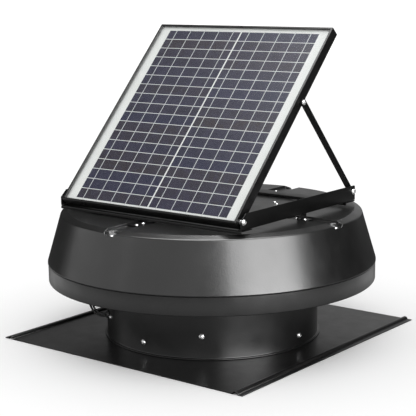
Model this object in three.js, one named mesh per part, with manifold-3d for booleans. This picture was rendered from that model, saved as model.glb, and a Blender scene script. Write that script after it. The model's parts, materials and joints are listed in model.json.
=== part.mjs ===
// A solar attic fan: a roof flashing with a fan throat, a sheet-metal dome over it, and a solar panel
// that tilts on a small frame on top of the dome. Millimetres, +Z up. The origin is the centre of the
// flashing's underside. +X runs along the panel's width, and the panel leans back towards +Y.

import * as THREE from "three";
import { mergeVertices } from "three/addons/utils/BufferGeometryUtils.js";
import Module from "manifold-3d";

const wasm = await Module();
wasm.setup();

// ---------------------------------------------------------------- driving dimensions

const GAP = 0.3;                    // clearance between touching pieces
const SHEET = 1.2;                  // sheet-steel thickness

const FLASHING_HALF = 247;
const RIB_X = 234;
const RIB_HALF_WIDTH = 4;
const RIB_HEIGHT = 5;

const NECK_RADIUS = 178;
const NECK_TOP = 112;
const NECK_FLANGE_RADIUS = 182;
const NECK_FLANGE_THICKNESS = 1.5;
const THROAT_HOLE_RADIUS = 174;
const COLLAR_SCREW_Z = 19.5;
const BRACKET_SCREW_Z = 38.5;
const BRACKET_SCREW_ANGLE = 57.5;
const COLLAR_ANGLES = [-90, 0, 90, 180];
const BRACKET_ANGLES = [
  -BRACKET_SCREW_ANGLE, BRACKET_SCREW_ANGLE, 180 - BRACKET_SCREW_ANGLE, BRACKET_SCREW_ANGLE - 180,
];

const SKIRT_RADIUS = 272.6;
const SKIRT_BOTTOM = 97.6;
const SKIRT_TOP = 128.2;
const HEM_DEPTH = 4;
const HEM_HEIGHT = 2.4;
const CAP_LIP_RADIUS = 274;
const CAP_LIP_BOTTOM = 126.8;
const CAP_LIP_TOP = 129.2;
const CONE_TOP_RADIUS = 250.3;
const CONE_TOP_Z = 208.2;
const SHOULDER_RADIUS = 238;
const DOME_TOP = 213;
const CAP_SHEET = 1.1;
const BOSS_RADIUS = 145;
const BOSS_HEIGHT = 1.5;
const CHANNEL_WIDTH = 30;
const CHANNEL_DEPTH = 4;
const CHANNEL_INNER = 158;
const CHANNEL_OUTER = 240;
const POCKET_CENTRE = 242;          // each channel ends in a round pocket that notches the shoulder
const POCKET_RADIUS = 12.5;
const POCKET_FLOOR = 204;

const SCREEN_RADIUS = 180.4;
const SCREEN_BOTTOM = 92;
const SCREEN_TOP = 207;

const MOTOR_RADIUS = 45;
const MOTOR_FLOOR_Z = 35;
const MOTOR_HEIGHT = 32;
const SHAFT_RADIUS = 4;
const FAN_RADIUS = 165;
const HUB_RADIUS = 44;
const BLADE_Z = 84;
const BLADE_COUNT = 5;
const BLADE_PITCH = 28;
const BLADE_CHORD = 112;

const PANEL_HALF = 178.5;
const PANEL_LENGTH = 379;
const PANEL_DEPTH = 17.4;
const PANEL_TILT = 46.4;
const HINGE_Y = -159;
const HINGE_Z = 232;
const HINGE_SETBACK = 8;            // hinge axis behind the panel's front edge
const RAIL_WALL = 1.5;
const RAIL_LIP = 3.6;
const RAIL_FOOT = 15;
const GLASS_DEPTH = 1.5;            // from the frame's top face down to the glass
const GLASS_THICKNESS = 2.8;
const CELL_THICKNESS = 0.6;
const BACKSHEET_THICKNESS = 0.6;

const ARM_OUTER_X = 186;
const ARM_SHEET = 1.5;
const ARM_FRONT = -166;
const ARM_REAR = 152;
const ARM_BOTTOM = 219.8;
const ARM_TOP = 245;
const ARM_FLANGE = 6.8;
// The front upper corner is cut off, at the panel's slope, from this height to this far back.
const ARM_CORNER_Z = 233.8;
const ARM_CORNER_Y = -153.4;
const FOOT_START = 159;
const FOOT_STRIP_START = 164;
const FOOT_END = 195;
const FOOT_HALF = 11;
const FOOT_SHEET = 2;
const REAR_FLANGE_START = 130;
const CROSSBAR_TOP = 219.5;
const CROSSBAR_DEPTH = 28;
const CROSSBAR_LIP = 5;
const REAR_CROSSBAR_Y = ARM_REAR - CROSSBAR_DEPTH;

const PIVOT_Y = 147.2;
const PIVOT_Z = 235.2;
const STRUT_INNER_X = 179;
const STRUT_WEB = 1;
const STRUT_DEPTH = 2.2;
const STRUT_WIDTH = 12;
const STRUT_TOP_ALONG = 231;        // strut bolt's place along the panel from the hinge
const STRUT_TOP_BELOW = 6;          // and below the hinge axis, square to the panel
const SHANK_RADIUS = 2.5;
const HOLE_RADIUS = 2.8;
const HEAD_RADIUS = 4.5;
const HEAD_HEIGHT = 3;
const SPACER_RADIUS = 4.2;

const LEAD_ANGLE = -127.5;           // the upright plane of the lead, its grommet and its gland
const LEAD_DROP_RADIUS = 191;
const LEAD_STEPS = 24;
const STRAND_DIAMETER = 3.5;
const STRAND_SPACING = 3.9;
const GROMMET_RADIUS = 8;
const GROMMET_BORE = 4;
const GROMMET_GROOVE = 1.5;
const GLAND_RADIUS = 6;
const GLAND_Z = 39.5;

const DOME_SEGMENTS = 48;
const NECK_SEGMENTS = 48;
const SMALL_SEGMENTS = 24;
const BOLT_SEGMENTS = 10;

// ---------------------------------------------------------------- finishes

const finish = (color, roughness, metalness) => ({ color, roughness, metalness });
const BLACK_STEEL = finish(0x1b1b1c, 0.42, 0.35);
const BLACK_ALUMINIUM = finish(0x111112, 0.35, 0.5);
const ZINC = finish(0xc8c8c6, 0.3, 0.95);
const GALVANISED = finish(0x9a9c9e, 0.45, 0.9);
const BLACK_PLASTIC = finish(0x151515, 0.55, 0);
const RUBBER = finish(0x0d0d0d, 0.8, 0);
const ALUMINIUM = finish(0xb4b6b8, 0.35, 0.9);
const GLASS = finish(0xdde6ea, 0.05, 0);
const CELLS = finish(0x262433, 0.25, 0.1);
const BACKSHEET_WHITE = finish(0xe6e6e3, 0.5, 0);
const SCREEN_STEEL = finish(0x8c8e90, 0.4, 0.8);

// ---------------------------------------------------------------- geometry helpers

const radians = THREE.MathUtils.degToRad;

function signedVolume(position, index) {
  const a = new THREE.Vector3();
  const b = new THREE.Vector3();
  const c = new THREE.Vector3();
  let volume = 0;
  for (let i = 0; i < index.length; i += 3) {
    a.fromBufferAttribute(position, index[i]);
    b.fromBufferAttribute(position, index[i + 1]);
    c.fromBufferAttribute(position, index[i + 2]);
    volume += a.dot(b.cross(c)) / 6;
  }
  return volume;
}

// Shared corners are merged, flat triangles dropped, and the faces turned outwards.
function closed(geometry) {
  const bare = new THREE.BufferGeometry();
  bare.setAttribute("position", geometry.getAttribute("position"));
  bare.setIndex(geometry.getIndex());
  const merged = mergeVertices(bare, 1e-4);
  const position = merged.getAttribute("position");
  const source = merged.getIndex().array;
  const index = [];
  for (let i = 0; i < source.length; i += 3) {
    const [p, q, r] = [source[i], source[i + 1], source[i + 2]];
    if (p !== q && q !== r && r !== p) {
      index.push(p, q, r);
    }
  }
  if (signedVolume(position, index) < 0) {
    index.reverse();
  }
  merged.setIndex(index);
  return merged;
}

function solid(geometry) {
  const shape = closed(geometry);
  return new wasm.Manifold(new wasm.Mesh({
    numProp: 3,
    vertProperties: Float32Array.from(shape.getAttribute("position").array),
    triVerts: Uint32Array.from(shape.getIndex().array),
  }));
}

function geometryOf(manifold) {
  const mesh = manifold.getMesh();
  const geometry = new THREE.BufferGeometry();
  geometry.setAttribute("position", new THREE.BufferAttribute(mesh.vertProperties, 3));
  geometry.setIndex(new THREE.BufferAttribute(mesh.triVerts, 1));
  return geometry;
}

function cut(geometry, ...tools) {
  return geometryOf(tools.reduce((body, tool) => body.subtract(solid(tool)), solid(geometry)));
}

function join(geometry, ...others) {
  return geometryOf(others.reduce((body, other) => body.add(solid(other)), solid(geometry)));
}

function common(geometry, other) {
  return geometryOf(solid(geometry).intersect(solid(other)));
}

function box(x0, x1, y0, y1, z0, z1) {
  return new THREE.BoxGeometry(x1 - x0, y1 - y0, z1 - z0)
    .translate((x0 + x1) / 2, (y0 + y1) / 2, (z0 + z1) / 2);
}

// A profile of [radius, height] turned about Z. It closes on the axis or on itself.
function turned(profile, segments) {
  const points = profile.map(([radius, height]) => new THREE.Vector2(radius, height));
  return new THREE.LatheGeometry(points, segments).rotateX(Math.PI / 2);
}

function ring(profile, segments) {
  return turned([...profile, profile[0]], segments);
}

function tube(inner, outer, z0, z1, segments) {
  return ring([[inner, z0], [outer, z0], [outer, z1], [inner, z1]], segments);
}

function disc(radius, z0, z1, segments) {
  return turned([[0, z0], [radius, z0], [radius, z1], [0, z1]], segments);
}

function shapeOf(points) {
  return new THREE.Shape(points.map(([u, v]) => new THREE.Vector2(u, v)));
}

// An outline of [x, y] pulled up along Z.
function prism(points, z0, z1) {
  return new THREE.ExtrudeGeometry(shapeOf(points), { depth: z1 - z0, bevelEnabled: false })
    .translate(0, 0, z0);
}

// An outline of [y, z] pulled along X.
function prismAlongX(points, x0, x1) {
  return prism(points, x0, x1).rotateY(Math.PI / 2).rotateX(Math.PI / 2);
}

// An outline of [x, z] pulled along Y.
function prismAlongY(points, y0, y1) {
  return prism(points, -y1, -y0).rotateX(Math.PI / 2);
}

function arc(centreU, centreV, radius, fromDeg, toDeg, steps) {
  const points = [];
  for (let i = 0; i <= steps; i += 1) {
    const angle = radians(fromDeg + ((toDeg - fromDeg) * i) / steps);
    points.push([centreU + radius * Math.cos(angle), centreV + radius * Math.sin(angle)]);
  }
  return points;
}

// A centre line of [u, v] given a thickness to one side, as an outline of bent strip.
function bentStrip(line, thickness) {
  const offset = line.map((point, i) => {
    const before = line[Math.max(i - 1, 0)];
    const after = line[Math.min(i + 1, line.length - 1)];
    const inward = new THREE.Vector2(point[0] - before[0], point[1] - before[1]);
    const outward = new THREE.Vector2(after[0] - point[0], after[1] - point[1]);
    if (inward.length() === 0) {
      inward.copy(outward);
    }
    if (outward.length() === 0) {
      outward.copy(inward);
    }
    inward.normalize();
    outward.normalize();
    const bisector = inward.clone().add(outward).normalize();
    const reach = thickness / bisector.dot(inward);
    return [point[0] - bisector.y * reach, point[1] + bisector.x * reach];
  });
  return [...line, ...offset.reverse()];
}

// A piece modelled about the Z axis, turned so that its axis points along a direction.
function along(geometry, direction, origin) {
  const turn = new THREE.Quaternion().setFromUnitVectors(
    new THREE.Vector3(0, 0, 1), new THREE.Vector3(...direction).normalize());
  return geometry.applyQuaternion(turn).translate(...origin);
}

function aroundZ(geometry, angleDeg) {
  return geometry.rotateZ(radians(angleDeg));
}

const group = new THREE.Group();

function add(name, geometry, look, parent = group) {
  const shape = closed(geometry);
  shape.computeVertexNormals();
  const material = new THREE.MeshStandardMaterial({
    color: look.color, roughness: look.roughness, metalness: look.metalness,
  });
  const mesh = new THREE.Mesh(shape, material);
  mesh.name = name;
  parent.add(mesh);
  return mesh;
}

// ---------------------------------------------------------------- flashing, neck and their screws

// The underside line of the flashing's section: flat, with a rib bent up near each side edge.
function flashingLine() {
  const rib = (centre) => arc(centre, 0, RIB_HALF_WIDTH, 180, 0, 6)
    .map(([x, z]) => [x, (z * (RIB_HEIGHT - SHEET)) / RIB_HALF_WIDTH]);
  return [[-FLASHING_HALF, 0], ...rib(-RIB_X), ...rib(RIB_X), [FLASHING_HALF, 0]];
}

function addFlashing() {
  const lower = flashingLine();
  const upper = lower.map(([x, z]) => {
    const side = Math.sign(x) * RIB_X;
    const spread = Math.abs(x) < FLASHING_HALF ? 1 + SHEET / (2 * RIB_HALF_WIDTH) : 1;
    const inRib = Math.abs(x) < FLASHING_HALF;
    return [inRib ? side + (x - side) * spread : x, z + SHEET];
  });
  const sheet = prismAlongY([...lower, ...upper.reverse()], -FLASHING_HALF, FLASHING_HALF);
  const hole = disc(THROAT_HOLE_RADIUS, -1, 2 * SHEET, NECK_SEGMENTS);
  add("base_flashing", cut(sheet, hole), BLACK_STEEL);
}

function addNeck() {
  const bottom = SHEET + GAP;
  const inner = NECK_RADIUS - SHEET;
  const wall = ring([
    [inner, bottom],
    [NECK_FLANGE_RADIUS, bottom],
    [NECK_FLANGE_RADIUS, bottom + NECK_FLANGE_THICKNESS],
    [NECK_RADIUS, bottom + NECK_FLANGE_THICKNESS],
    [NECK_RADIUS, NECK_TOP],
    [inner, NECK_TOP],
  ], NECK_SEGMENTS);
  const hole = (angle, z) => aroundZ(
    along(disc(HOLE_RADIUS, -10, 10, BOLT_SEGMENTS), [1, 0, 0], [NECK_RADIUS, 0, z]), angle);
  const collarHoles = COLLAR_ANGLES.map((angle) => hole(angle, COLLAR_SCREW_Z));
  const bracketHoles = BRACKET_ANGLES.map((angle) => hole(angle, BRACKET_SCREW_Z));
  const glandHole = aroundZ(along(disc(GLAND_RADIUS + GAP, -10, 10, SMALL_SEGMENTS), [1, 0, 0],
    [NECK_RADIUS, 0, GLAND_Z]), LEAD_ANGLE);
  add("throat_collar", cut(wall, ...collarHoles, ...bracketHoles, glandHole), BLACK_STEEL);
}

// A pan-head screw along -Z, with its head's underside at z = 0.
function screw(length) {
  return turned([
    [0, -length], [SHANK_RADIUS, -length], [SHANK_RADIUS, 0], [HEAD_RADIUS, 0],
    [HEAD_RADIUS * 0.85, 1.8], [0, 2.4],
  ], BOLT_SEGMENTS);
}

function addNeckScrews() {
  const place = (name, angle, z) => add(name, aroundZ(
    along(screw(8), [1, 0, 0], [NECK_RADIUS + GAP, 0, z]), angle), ZINC);
  COLLAR_ANGLES.forEach((angle, i) => place(`collar_screw_${i + 1}`, angle, COLLAR_SCREW_Z));
  BRACKET_ANGLES.forEach((angle, i) => place(`bracket_screw_${i + 1}`, angle, BRACKET_SCREW_Z));
}

// ---------------------------------------------------------------- motor bracket, motor and fan

function addMotorBracket() {
  const railX = NECK_RADIUS * Math.cos(radians(BRACKET_SCREW_ANGLE));
  const railZ = 28;
  const railThickness = 3;
  const tabFace = 173.5;
  const railHalf = 11;
  for (const [side, name] of [[-1, "bracket_rail_left"], [1, "bracket_rail_right"]]) {
    const flat = common(
      box(side * railX - railHalf, side * railX + railHalf, -NECK_RADIUS, NECK_RADIUS,
        railZ, railZ + railThickness),
      disc(tabFace - 1, 0, NECK_TOP, NECK_SEGMENTS));
    const tabs = [-1, 1].map((end) => {
      const angle = end * (side > 0 ? BRACKET_SCREW_ANGLE : 180 - BRACKET_SCREW_ANGLE);
      return aroundZ(box(tabFace - 2, tabFace, -12, 12, railZ, 48), angle);
    });
    const holes = [-1, 1].map((end) => {
      const angle = end * (side > 0 ? BRACKET_SCREW_ANGLE : 180 - BRACKET_SCREW_ANGLE);
      return aroundZ(along(disc(HOLE_RADIUS, -12, 12, BOLT_SEGMENTS), [1, 0, 0],
        [tabFace, 0, BRACKET_SCREW_Z]), angle);
    });
    add(name, cut(join(flat, ...tabs), ...holes), GALVANISED);
  }
  const plateZ = railZ + railThickness + GAP;
  const plate = box(-railX - railHalf, railX + railHalf, -50, 50, plateZ, plateZ + railThickness);
  add("motor_plate", cut(plate, disc(14, plateZ - 5, plateZ + 10, SMALL_SEGMENTS)), GALVANISED);
}

function addMotor() {
  const floor = MOTOR_FLOOR_Z;
  const top = floor + MOTOR_HEIGHT;
  const bearingOuter = 11;
  const bearingHeight = 7;
  const boss = bearingOuter + 3;
  add("motor_housing", ring([
    [bearingOuter + GAP, floor], [MOTOR_RADIUS - 2, floor], [MOTOR_RADIUS, floor + 2],
    [MOTOR_RADIUS, top], [MOTOR_RADIUS - 3, top], [MOTOR_RADIUS - 3, floor + 3],
    [boss, floor + 3], [boss, floor + bearingHeight], [bearingOuter + GAP, floor + bearingHeight],
  ], SMALL_SEGMENTS), BLACK_PLASTIC);
  const lid = top + GAP;
  add("motor_cover", ring([
    [bearingOuter + GAP, lid], [MOTOR_RADIUS, lid], [MOTOR_RADIUS - 2, lid + 4],
    [boss, lid + 5], [boss, lid + bearingHeight], [bearingOuter + GAP, lid + bearingHeight],
  ], SMALL_SEGMENTS), ALUMINIUM);
  for (const [name, z] of [["lower_bearing", floor], ["upper_bearing", lid]]) {
    add(name, tube(SHAFT_RADIUS + GAP, bearingOuter, z, z + bearingHeight, SMALL_SEGMENTS), ZINC);
  }
  add("motor_shaft", turned([
    [0, floor - 2], [SHAFT_RADIUS, floor - 2], [SHAFT_RADIUS, BLADE_Z + 15],
    [SHAFT_RADIUS - 1, BLADE_Z + 16], [0, BLADE_Z + 16],
  ], BOLT_SEGMENTS + 2), ZINC);
}

// A cambered strip along +X, pitched about its own length and trimmed to the fan's circle.
function blade() {
  const camber = 9;
  const half = BLADE_CHORD / 2;
  const line = [];
  for (let i = 0; i <= 6; i += 1) {
    const y = -half + (BLADE_CHORD * i) / 6;
    line.push([y, camber * (1 - (y / half) ** 2)]);
  }
  const strip = prismAlongX(bentStrip(line, 1.5), HUB_RADIUS - 10, FAN_RADIUS + 10)
    .rotateX(radians(BLADE_PITCH))
    .translate(0, 0, BLADE_Z);
  return common(strip, tube(HUB_RADIUS + GAP, FAN_RADIUS, BLADE_Z - 50, BLADE_Z + 50, NECK_SEGMENTS));
}

function addFan() {
  const hubBottom = BLADE_Z - 7;
  add("fan_hub", ring([
    [SHAFT_RADIUS + GAP, hubBottom], [HUB_RADIUS, hubBottom], [HUB_RADIUS, BLADE_Z + 5],
    [HUB_RADIUS - 4, BLADE_Z + 9], [SHAFT_RADIUS + GAP, BLADE_Z + 9],
  ], SMALL_SEGMENTS), ALUMINIUM);
  for (let i = 0; i < BLADE_COUNT; i += 1) {
    add(`fan_blade_${i + 1}`, aroundZ(blade(), (360 * i) / BLADE_COUNT + 20), ALUMINIUM);
  }
  const nut = disc(7.5, BLADE_Z + 9 + GAP, BLADE_Z + 14, 6);
  const nutBore = disc(SHAFT_RADIUS + GAP, BLADE_Z, BLADE_Z + 20, SMALL_SEGMENTS);
  add("hub_nut", cut(nut, nutBore), ZINC);
}

// ---------------------------------------------------------------- dome, its legs and the bird screen

// The dome cap's outer line from its lip to the axis, or the same line moved in by the sheet.
function domeProfile(inset) {
  return [
    [CAP_LIP_RADIUS - inset, CAP_LIP_BOTTOM],
    [CAP_LIP_RADIUS - inset, CAP_LIP_TOP - inset / 2],
    [CONE_TOP_RADIUS - inset, CONE_TOP_Z - inset / 2],
    [SHOULDER_RADIUS - inset / 4, DOME_TOP - inset],
    [BOSS_RADIUS + 2, DOME_TOP - inset],
    [BOSS_RADIUS, DOME_TOP + BOSS_HEIGHT - inset],
    [0, DOME_TOP + BOSS_HEIGHT - inset],
  ];
}

// The space above a channel, and the pocket at its outer end.
function channelSpace(angle, grow) {
  const half = CHANNEL_WIDTH / 2 + grow;
  const slot = box(CHANNEL_INNER - grow, CHANNEL_OUTER, -half, half,
    DOME_TOP - CHANNEL_DEPTH - grow, DOME_TOP + 20);
  const pocket = disc(POCKET_RADIUS + grow, POCKET_FLOOR - grow, DOME_TOP + 20, SMALL_SEGMENTS)
    .translate(POCKET_CENTRE, 0, 0);
  return aroundZ(join(slot, pocket), angle);
}

function addDome() {
  const angles = [0, 90, 180, 270];
  const bottom = CAP_LIP_BOTTOM;
  const outer = turned([[0, bottom], ...domeProfile(0)], DOME_SEGMENTS);
  const hollow = turned([[0, bottom - 5], [CAP_LIP_RADIUS - CAP_SHEET, bottom - 5],
    ...domeProfile(CAP_SHEET)], DOME_SEGMENTS);
  const formed = cut(outer, ...angles.map((angle) => channelSpace(angle, 0)));
  const inside = cut(hollow, ...angles.map((angle) => channelSpace(angle, CAP_SHEET)));
  const leadHole = aroundZ(disc(GROMMET_RADIUS - GROMMET_GROOVE + GAP, DOME_TOP - 10, DOME_TOP + 10,
    SMALL_SEGMENTS).translate(LEAD_DROP_RADIUS, 0, 0), LEAD_ANGLE);
  add("dome_cap", cut(formed, inside, leadHole), BLACK_STEEL);

  const inner = SKIRT_RADIUS - SHEET;
  add("dome_skirt", ring([
    [SKIRT_RADIUS - HEM_DEPTH, SKIRT_BOTTOM], [SKIRT_RADIUS, SKIRT_BOTTOM],
    [SKIRT_RADIUS, SKIRT_TOP], [inner, SKIRT_TOP],
    [inner, SKIRT_BOTTOM + HEM_HEIGHT], [SKIRT_RADIUS - HEM_DEPTH, SKIRT_BOTTOM + HEM_HEIGHT],
  ], DOME_SEGMENTS), BLACK_STEEL);

  add("bird_screen", tube(SCREEN_RADIUS - 1, SCREEN_RADIUS, SCREEN_BOTTOM, SCREEN_TOP,
    NECK_SEGMENTS), SCREEN_STEEL);
}

// Four bent straps carry the dome: riveted inside the neck, screwed up under the raised top.
function addDomeLegs() {
  const thickness = 2;
  const foot = 175;
  const underTop = DOME_TOP + BOSS_HEIGHT - CAP_SHEET - GAP;
  const line = [[foot, 60], [foot, 116], [132, underTop], [96, underTop]];
  for (let i = 0; i < 4; i += 1) {
    const strap = prismAlongX(bentStrip(line, thickness), -18, 18);
    add(`dome_leg_${i + 1}`, aroundZ(strap.rotateZ(-Math.PI / 2), 45 + 90 * i), GALVANISED);
  }
}

// ---------------------------------------------------------------- frame on the dome

// Each foot is a strip in a channel of the dome, with an upright that carries the frame.
function addFrameFeet() {
  const floor = DOME_TOP - CHANNEL_DEPTH + GAP;
  // Name, angle, where the upright starts and ends, and the underside that it holds up.
  const feet = [
    ["frame_foot_right", 0, 180, 183, ARM_BOTTOM],
    ["frame_foot_rear", 90, FOOT_START, FOOT_START + 3, CROSSBAR_TOP - ARM_SHEET],
    ["frame_foot_left", 180, 180, 183, ARM_BOTTOM],
    ["frame_foot_front", 270, FOOT_START, FOOT_START + 3, CROSSBAR_TOP - ARM_SHEET],
  ];
  for (const [name, angle, inner, outer, underside] of feet) {
    const start = Math.min(inner, FOOT_STRIP_START);
    const top = underside - GAP;
    const strip = box(start, FOOT_END, -FOOT_HALF, FOOT_HALF, floor, floor + FOOT_SHEET);
    const upright = box(inner, outer, -FOOT_HALF, FOOT_HALF, floor, top);
    let foot = join(strip, upright);
    if (name === "frame_foot_rear") {
      const flange = box(REAR_FLANGE_START, outer, -FOOT_HALF, FOOT_HALF, top - FOOT_SHEET, top);
      foot = join(foot, flange);
    }
    add(name, aroundZ(foot, angle), BLACK_STEEL);
  }
}

function boltHole(x, y, z) {
  return along(disc(HOLE_RADIUS, -12, 12, BOLT_SEGMENTS), [1, 0, 0], [x, y, z]);
}

function addFrame() {
  const armInner = ARM_OUTER_X - ARM_SHEET;
  const corner = prismAlongX([
    [ARM_FRONT - 1, ARM_CORNER_Z], [ARM_FRONT, ARM_CORNER_Z], [ARM_CORNER_Y, ARM_TOP],
    [ARM_CORNER_Y, ARM_TOP + 1], [ARM_FRONT - 1, ARM_TOP + 1],
  ], -ARM_OUTER_X - 1, ARM_OUTER_X + 1);
  for (const [side, name] of [[-1, "frame_arm_left"], [1, "frame_arm_right"]]) {
    const section = [
      [side * ARM_OUTER_X, ARM_BOTTOM], [side * ARM_OUTER_X, ARM_TOP], [side * armInner, ARM_TOP],
      [side * armInner, ARM_BOTTOM + ARM_SHEET],
      [side * (ARM_OUTER_X - ARM_FLANGE), ARM_BOTTOM + ARM_SHEET],
      [side * (ARM_OUTER_X - ARM_FLANGE), ARM_BOTTOM],
    ];
    const bar = prismAlongY(section, ARM_FRONT, ARM_REAR);
    const arm = cut(bar, corner);
    const middle = side * (armInner + ARM_SHEET / 2);
    add(name, cut(arm, boltHole(middle, HINGE_Y, HINGE_Z), boltHole(middle, PIVOT_Y, PIVOT_Z)),
      BLACK_STEEL);
  }
  const crossbar = (name, front) => {
    const line = [
      [front, CROSSBAR_TOP - CROSSBAR_LIP], [front, CROSSBAR_TOP],
      [front + CROSSBAR_DEPTH, CROSSBAR_TOP],
      [front + CROSSBAR_DEPTH, CROSSBAR_TOP - ARM_SHEET],
      [front + ARM_SHEET, CROSSBAR_TOP - ARM_SHEET],
      [front + ARM_SHEET, CROSSBAR_TOP - CROSSBAR_LIP],
    ];
    add(name, prismAlongX(line, -ARM_OUTER_X, ARM_OUTER_X), BLACK_STEEL);
  };
  crossbar("front_crossbar", ARM_FRONT);
  crossbar("rear_crossbar", REAR_CROSSBAR_Y);
}

// A shouldered bolt along +X: the head outside the arm, a spacer inside it, and a plain end.
function shoulderBolt(spacerInnerX, endX) {
  const head = ARM_OUTER_X + GAP;
  const spacerOuterX = ARM_OUTER_X - ARM_SHEET - GAP;
  return turned([
    [0, endX], [SHANK_RADIUS, endX], [SHANK_RADIUS, spacerInnerX], [SPACER_RADIUS, spacerInnerX],
    [SPACER_RADIUS, spacerOuterX], [SHANK_RADIUS, spacerOuterX], [SHANK_RADIUS, head],
    [HEAD_RADIUS, head], [HEAD_RADIUS * 0.8, head + HEAD_HEIGHT], [0, head + HEAD_HEIGHT],
  ], BOLT_SEGMENTS);
}

function addFrameBolts() {
  for (const [side, word] of [[-1, "left"], [1, "right"]]) {
    const hinge = shoulderBolt(PANEL_HALF + GAP, PANEL_HALF - RAIL_WALL + 0.1);
    add(`hinge_bolt_${word}`, along(hinge, [side, 0, 0], [0, HINGE_Y, HINGE_Z]), ZINC);
    const pivot = shoulderBolt(STRUT_INNER_X + STRUT_DEPTH + GAP, STRUT_INNER_X + 0.1);
    add(`strut_pivot_${word}`, along(pivot, [side, 0, 0], [0, PIVOT_Y, PIVOT_Z]), ZINC);
  }
}

// ---------------------------------------------------------------- struts

function strutTop() {
  const tilt = radians(PANEL_TILT);
  return [
    HINGE_Y + STRUT_TOP_ALONG * Math.cos(tilt) + STRUT_TOP_BELOW * Math.sin(tilt),
    HINGE_Z + STRUT_TOP_ALONG * Math.sin(tilt) - STRUT_TOP_BELOW * Math.cos(tilt),
  ];
}

// A shallow channel bar with round ends, lying along +Y from its pivot, its groove facing +X.
function strutBar(length) {
  const half = STRUT_WIDTH / 2;
  const capsule = (radius, x0, x1, from, to) => prismAlongX([
    ...arc(from, 0, radius, 270, 90, 6), ...arc(to, 0, radius, 90, -90, 6),
  ], x0, x1);
  const bar = capsule(half, STRUT_INNER_X, STRUT_INNER_X + STRUT_DEPTH, 0, length);
  const groove = box(STRUT_INNER_X + STRUT_WEB, STRUT_INNER_X + STRUT_DEPTH + 1,
    half + 4, length - half - 4, 1.2 - half, half - 1.2);
  return cut(bar, groove, boltHole(STRUT_INNER_X, 0, 0), boltHole(STRUT_INNER_X, length, 0));
}

function addStruts() {
  const [topY, topZ] = strutTop();
  const rise = topZ - PIVOT_Z;
  const reach = topY - PIVOT_Y;
  const length = Math.hypot(rise, reach);
  const headX = STRUT_INNER_X + STRUT_DEPTH + GAP;
  for (const [side, word] of [[-1, "left"], [1, "right"]]) {
    const holder = new THREE.Group();
    holder.position.set(0, PIVOT_Y, PIVOT_Z);
    holder.rotation.x = Math.atan2(rise, reach);
    group.add(holder);
    const mirror = (geometry) => (side < 0 ? geometry.scale(-1, 1, 1) : geometry);
    add(`strut_${word}`, mirror(closed(strutBar(length))), BLACK_STEEL, holder);
    const bolt = turned([
      [0, STRUT_INNER_X - 0.2], [SHANK_RADIUS, STRUT_INNER_X - 0.2], [SHANK_RADIUS, headX],
      [SPACER_RADIUS, headX], [SPACER_RADIUS * 0.8, headX + 2.6], [0, headX + 2.6],
    ], BOLT_SEGMENTS);
    add(`strut_bolt_${word}`, along(bolt, [side, 0, 0], [0, length, 0]), ZINC, holder);
  }
}

// ---------------------------------------------------------------- solar panel

// Inside this group Y runs up the panel from the hinge axis and Z is square to its face.
const panel = new THREE.Group();
panel.position.set(0, HINGE_Y, HINGE_Z);
panel.rotation.x = radians(PANEL_TILT);
group.add(panel);

const PANEL_FRONT = -HINGE_SETBACK;
const PANEL_BACK = PANEL_LENGTH - HINGE_SETBACK;
const PANEL_TOP = PANEL_DEPTH / 2;

// A rail's section: u runs inwards from the rail's outer face, v down from the panel's top.
const RAIL_SECTION = [
  [0, 0], [RAIL_LIP, 0], [RAIL_LIP, 1.2], [RAIL_WALL, 1.2],
  [RAIL_WALL, PANEL_DEPTH - 1.5], [RAIL_FOOT, PANEL_DEPTH - 1.5], [RAIL_FOOT, PANEL_DEPTH],
  [0, PANEL_DEPTH],
];

// A mitred rail of the given length, along +X from its middle, with its outer face at y = 0.
function rail(length) {
  const section = RAIL_SECTION.map(([u, v]) => [u, PANEL_TOP - v]);
  const bar = prismAlongX(section, -length / 2, length / 2);
  const depth = RAIL_FOOT + 1;
  const half = length / 2 - GAP / 2;
  const mitred = prism([[-half, 0], [half, 0], [half - depth, depth], [depth - half, depth]],
    -PANEL_DEPTH, PANEL_DEPTH);
  return common(bar, mitred);
}

function addPanel() {
  const middle = (PANEL_FRONT + PANEL_BACK) / 2;
  const width = 2 * PANEL_HALF;
  const sideHole = boltHole(0, 0, 0);
  add("panel_rail_front", rail(width).translate(0, PANEL_FRONT, 0), BLACK_ALUMINIUM, panel);
  add("panel_rail_back", aroundZ(rail(width), 180).translate(0, PANEL_BACK, 0), BLACK_ALUMINIUM,
    panel);
  add("panel_rail_left", cut(aroundZ(rail(PANEL_LENGTH), -90).translate(-PANEL_HALF, middle, 0),
    sideHole.clone().translate(-PANEL_HALF, 0, 0)), BLACK_ALUMINIUM, panel);
  add("panel_rail_right", cut(aroundZ(rail(PANEL_LENGTH), 90).translate(PANEL_HALF, middle, 0),
    sideHole.clone().translate(PANEL_HALF, 0, 0)), BLACK_ALUMINIUM, panel);

  const inset = RAIL_WALL + GAP;
  const layer = (name, depth, thickness, look) => add(name, box(
    inset - PANEL_HALF, PANEL_HALF - inset, PANEL_FRONT + inset, PANEL_BACK - inset,
    PANEL_TOP - depth - thickness, PANEL_TOP - depth), look, panel);
  const cellDepth = GLASS_DEPTH + GLASS_THICKNESS + GAP;
  const backDepth = cellDepth + CELL_THICKNESS + GAP;
  layer("panel_glass", GLASS_DEPTH, GLASS_THICKNESS, GLASS);
  layer("cell_sheet", cellDepth, CELL_THICKNESS, CELLS);
  layer("backsheet", backDepth, BACKSHEET_THICKNESS, BACKSHEET_WHITE);

  const boxTop = PANEL_TOP - backDepth - BACKSHEET_THICKNESS - GAP;
  const junction = prism([[-42, -30], [42, -30], [42, 26], [36, 32], [-36, 32], [-42, 26]],
    boxTop - 13, boxTop).translate(0, PANEL_BACK - 90, 0);
  add("junction_box", junction, BLACK_PLASTIC, panel);
}

// ---------------------------------------------------------------- lead from the panel to the motor

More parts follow.
